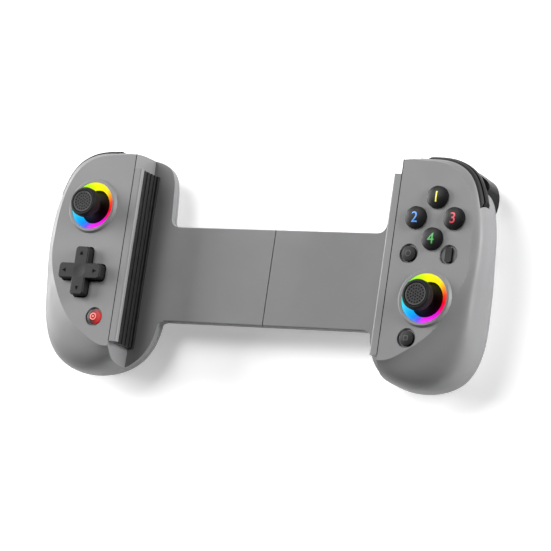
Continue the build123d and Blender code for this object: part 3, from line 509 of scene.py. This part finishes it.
def key_icons():
    # A black for painted shade: it fills the pad's sunk marks, spots the caps' dimples, rings their dish
    # groove and lines the lip's shadow gap
    ink = moulded_ink("painted_shade_black", "#060607", "#0a0a0b", 0.7, 0.05)
    pale = moulded_ink("ink_pad_printed_grey", "#404142", "#4b4c4c", 0.5, 0.3)
    icons = (
        ("round_button_upper", "ring", ICON_SIDES, ICON_RADIUS, 0.0, pale),
        ("round_button_lower", "square", 4, SQUARE_RADIUS, math.pi / 4, pale),
    )
    for key, word, sides, radius, turn, material in icons:
        shape = outline_icon(sides, radius, ICON_LINE, turn)
        on_dome(shape, radius, SMALL_DOME, middle(key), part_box(key)[1].z)
        body = key.replace("round_button", "button_round")
        finished(shape, "icon_" + word, material, body)
    centre, top = middle("lit_button"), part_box("lit_button")[1].z
    glow = glowing_ink("lamp_window_red", "#ff4a48", 1.0)
    for word, radius, line in (("lit_ring", LIT_RADIUS, ICON_LINE), ("lit_dot", DOT_RING_RADIUS, 0)):
        shape = outline_icon(LIT_ICON_SIDES, radius, line)
        on_dome(shape, radius, SMALL_DOME, centre, top)
        finished(shape, "icon_" + word, glow, "button_lit")
    return ink


def pad_marks(ink):
    # A dark arrow head in each sunk mark on the direction pad, its top just under the pad's top: painted
    # shade of the mark's hollow
    centre = middle("direction_pad")
    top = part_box("direction_pad")[1].z
    for i in range(4):
        shape = outline_icon(3, 1.0, 0, -math.pi / 2)
        across = MARK_LENGTH / (2 * math.sin(math.pi / 3))
        bmesh.ops.scale(shape, verts=shape.verts, vec=(MARK_LENGTH / 1.5, across, 1.0))
        thicken(shape, MARK_FILL)
        bmesh.ops.translate(shape, verts=shape.verts, vec=(MARK_PLACE - MARK_LENGTH / 6, 0, 0))
        bmesh.ops.rotate(shape, verts=shape.verts, matrix=Matrix.Rotation(math.pi / 2 * i, 3, "Z"))
        place(shape, centre, top - MARK_SINK - MARK_FILL)
        finished(shape, "pad_mark_" + PLACES[i], ink, "pad")


def hoop(radius, tube):
    # A round bar bent to a ring, flat round the origin
    shape = bmesh.new()
    bmesh.ops.create_circle(shape, segments=TUBE_SIDES, radius=tube)
    bmesh.ops.rotate(shape, verts=shape.verts, matrix=Matrix.Rotation(math.pi / 2, 3, "X"))
    bmesh.ops.translate(shape, verts=shape.verts, vec=(radius, 0, 0))
    bmesh.ops.spin(shape, geom=shape.verts[:] + shape.edges[:], cent=(0, 0, 0), axis=(0, 0, 1),
                   angle=2 * math.pi, steps=ROUND_SIDES, use_merge=True)
    return shape


def cap_disc(side, material, bead_material, groove_shade_material):
    # A grey textured disc in the thumb cap's dish, a paler bead round its edge, and round that a dark ring
    # at the dish's edge that is painted shade of its groove
    cap = "stick_cap_" + side
    centre, top = middle(cap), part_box(cap)[1].z
    disc = bmesh.new()
    bmesh.ops.create_circle(disc, cap_ends=True, segments=ROUND_SIDES, radius=BEAD_RADIUS)
    thicken(disc, BEAD_TUBE)
    pieces = (
        ("cap_disc_", disc, top - DISH_DEPTH, material),
        ("cap_bead_", hoop(BEAD_RADIUS, BEAD_TUBE), top - DISH_DEPTH + BEAD_TUBE, bead_material),
        # The dark ring is painted groove shade
        ("cap_groove_shade_", hoop(GROOVE_RADIUS, GROOVE_TUBE), top - GROOVE_TUBE - LEGEND_LIFT, groove_shade_material),
    )
    for word, shape, height, finish in pieces:
        place(shape, centre, height)
        finished(shape, word + side, finish, "stick_" + side)


def cap_dimples(side, material):
    # Dark spots in rings over the disc: painted shade of its dimples, as thin dark discs on the disc with no
    # hollow cut
    cap = "stick_cap_" + side
    centre, top = middle(cap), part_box(cap)[1].z
    height = top - DISH_DEPTH + BEAD_TUBE
    shape = bmesh.new()
    for row in range(DIMPLE_ROWS):
        count = 6 * row if row else 1
        for i in range(count):
            turn = 2 * math.pi * (i + row / 2) / count
            x, y = DIMPLE_PITCH * row * math.cos(turn), DIMPLE_PITCH * row * math.sin(turn)
            spot = Matrix.Translation((centre.x + x, centre.y + y, height))
            bmesh.ops.create_cone(shape, cap_ends=True, segments=DIMPLE_SIDES, radius1=DIMPLE_RADIUS,
                                  radius2=DIMPLE_RADIUS, depth=INK / 2, matrix=spot)
    finished(shape, "cap_dimples_" + side, material, "stick_" + side)


def cap_ribs(side):
    # Upright ribs round the cap's side, for grip
    cap = "stick_cap_" + side
    centre, top = middle(cap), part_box(cap)[1].z
    shape = bmesh.new()
    for i in range(RIB_COUNT):
        turn = Matrix.Rotation(2 * math.pi * i / RIB_COUNT, 4, "Z")
        size = Matrix.Diagonal((RIB_DEPTH, RIB_WIDTH, RIB_HEIGHT, 1))
        spot = turn @ Matrix.Translation((CAP_RADIUS, 0, 0)) @ size
        bmesh.ops.create_cube(shape, size=1.0, matrix=spot)
    place(shape, centre, top - CAP_HEIGHT / 2)
    finished(shape, "cap_ribs_" + side, FINISHES["stick_rubber"], "stick_" + side)


def lip_seam(side, ink):
    # The shadow gap between the clamp lip and the face
    low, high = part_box("clamp_lip_" + side)
    cover_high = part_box("front_cover_" + side)[1]
    wall = high.x if side == "right" else low.x
    length = cover_high.y - SEAM_END - low.y
    shape = bmesh.new()
    size = Matrix.Diagonal((SEAM_WIDTH, length, SEAM_THICKNESS, 1))
    bmesh.ops.create_cube(shape, size=1.0, matrix=size)
    bmesh.ops.translate(shape, verts=shape.verts, vec=(wall, low.y + length / 2, high.z))
    finished(shape, "lip_seam_" + side, ink, side + "_grip")


# The studio


def area_light(name, spot, size, power):
    # A soft box that stands at spot and faces the part
    lamp = bpy.data.lights.new(name, "AREA")
    lamp.shape = "RECTANGLE"
    lamp.size, lamp.size_y = size
    lamp.energy = power
    piece = bpy.data.objects.new(name, lamp)
    bpy.context.scene.collection.objects.link(piece)
    piece.location = spot
    piece.rotation_mode = "QUATERNION"
    piece.rotation_quaternion = (-Vector(spot)).to_track_quat("-Z", "Y")


def studio():
    scene = bpy.context.scene
    scene.view_settings.view_transform = "Standard"
    world = bpy.data.worlds.new("studio")
    world.use_nodes = True
    world.node_tree.nodes["Background"].inputs[0].default_value = (1, 1, 1, 1)
    world.node_tree.nodes["Background"].inputs[1].default_value = SKY_STRENGTH
    scene.world = world
    floor = bmesh.new()
    bmesh.ops.create_grid(floor, x_segments=1, y_segments=1, size=FLOOR_HALF)
    bmesh.ops.translate(floor, verts=floor.verts, vec=(0, 0, solid_box[0].z - FLOOR_DROP))
    mesh = bpy.data.meshes.new("floor")
    floor.to_mesh(mesh)
    floor.free()
    mesh.materials.append(light_table("acrylic_opal_white"))
    ground = bpy.data.objects.new("floor", mesh)
    scene.collection.objects.link(ground)
    for word, way, size, power in (
        ("left_softbox", (-0.93, 0.2, 0.3), (1.4, 1.2), 86),
        ("right_softbox", (0.93, 0.3, 0.2), (1.2, 0.7), 74),
        ("top_softbox", (-0.35, 0.45, 0.82), (1.2, 1.2), 33),
    ):
        area_light(word, Vector(way).normalized() * LIGHT_DISTANCE, size, power)


def camera():
    # The photograph's long lens, from the right and slightly below, looking down on the face
    lens = bpy.data.cameras.new("camera")
    lens.lens = LENS_MM
    lens.sensor_width = SENSOR_MM
    piece = bpy.data.objects.new("camera", lens)
    bpy.context.scene.collection.objects.link(piece)
    turn = Matrix(CAMERA_AXES).transposed()
    piece.rotation_mode = "QUATERNION"
    piece.rotation_quaternion = turn.to_quaternion()
    piece.location = CAMERA_PLACE
    lens.clip_start, lens.clip_end = CLIP_NEAR, CLIP_FAR
    bpy.context.scene.camera = piece


dress_solids()
face_legends()
black_painted_shade = key_icons()
pad_marks(black_painted_shade)
disc_rubber = moulded_rubber("TPE_textured_grey", "#363637", "#3e3e3f", 0.6, 0.2)
bead_rubber = moulded_rubber("TPE_moulded_pale_grey", "#4c4c4d", "#565657", 0.5)
for side in SIDES:
    cap_disc(side, disc_rubber, bead_rubber, black_painted_shade)
    cap_dimples(side, black_painted_shade)
    cap_ribs(side)
    lip_seam(side, black_painted_shade)
studio()
camera()
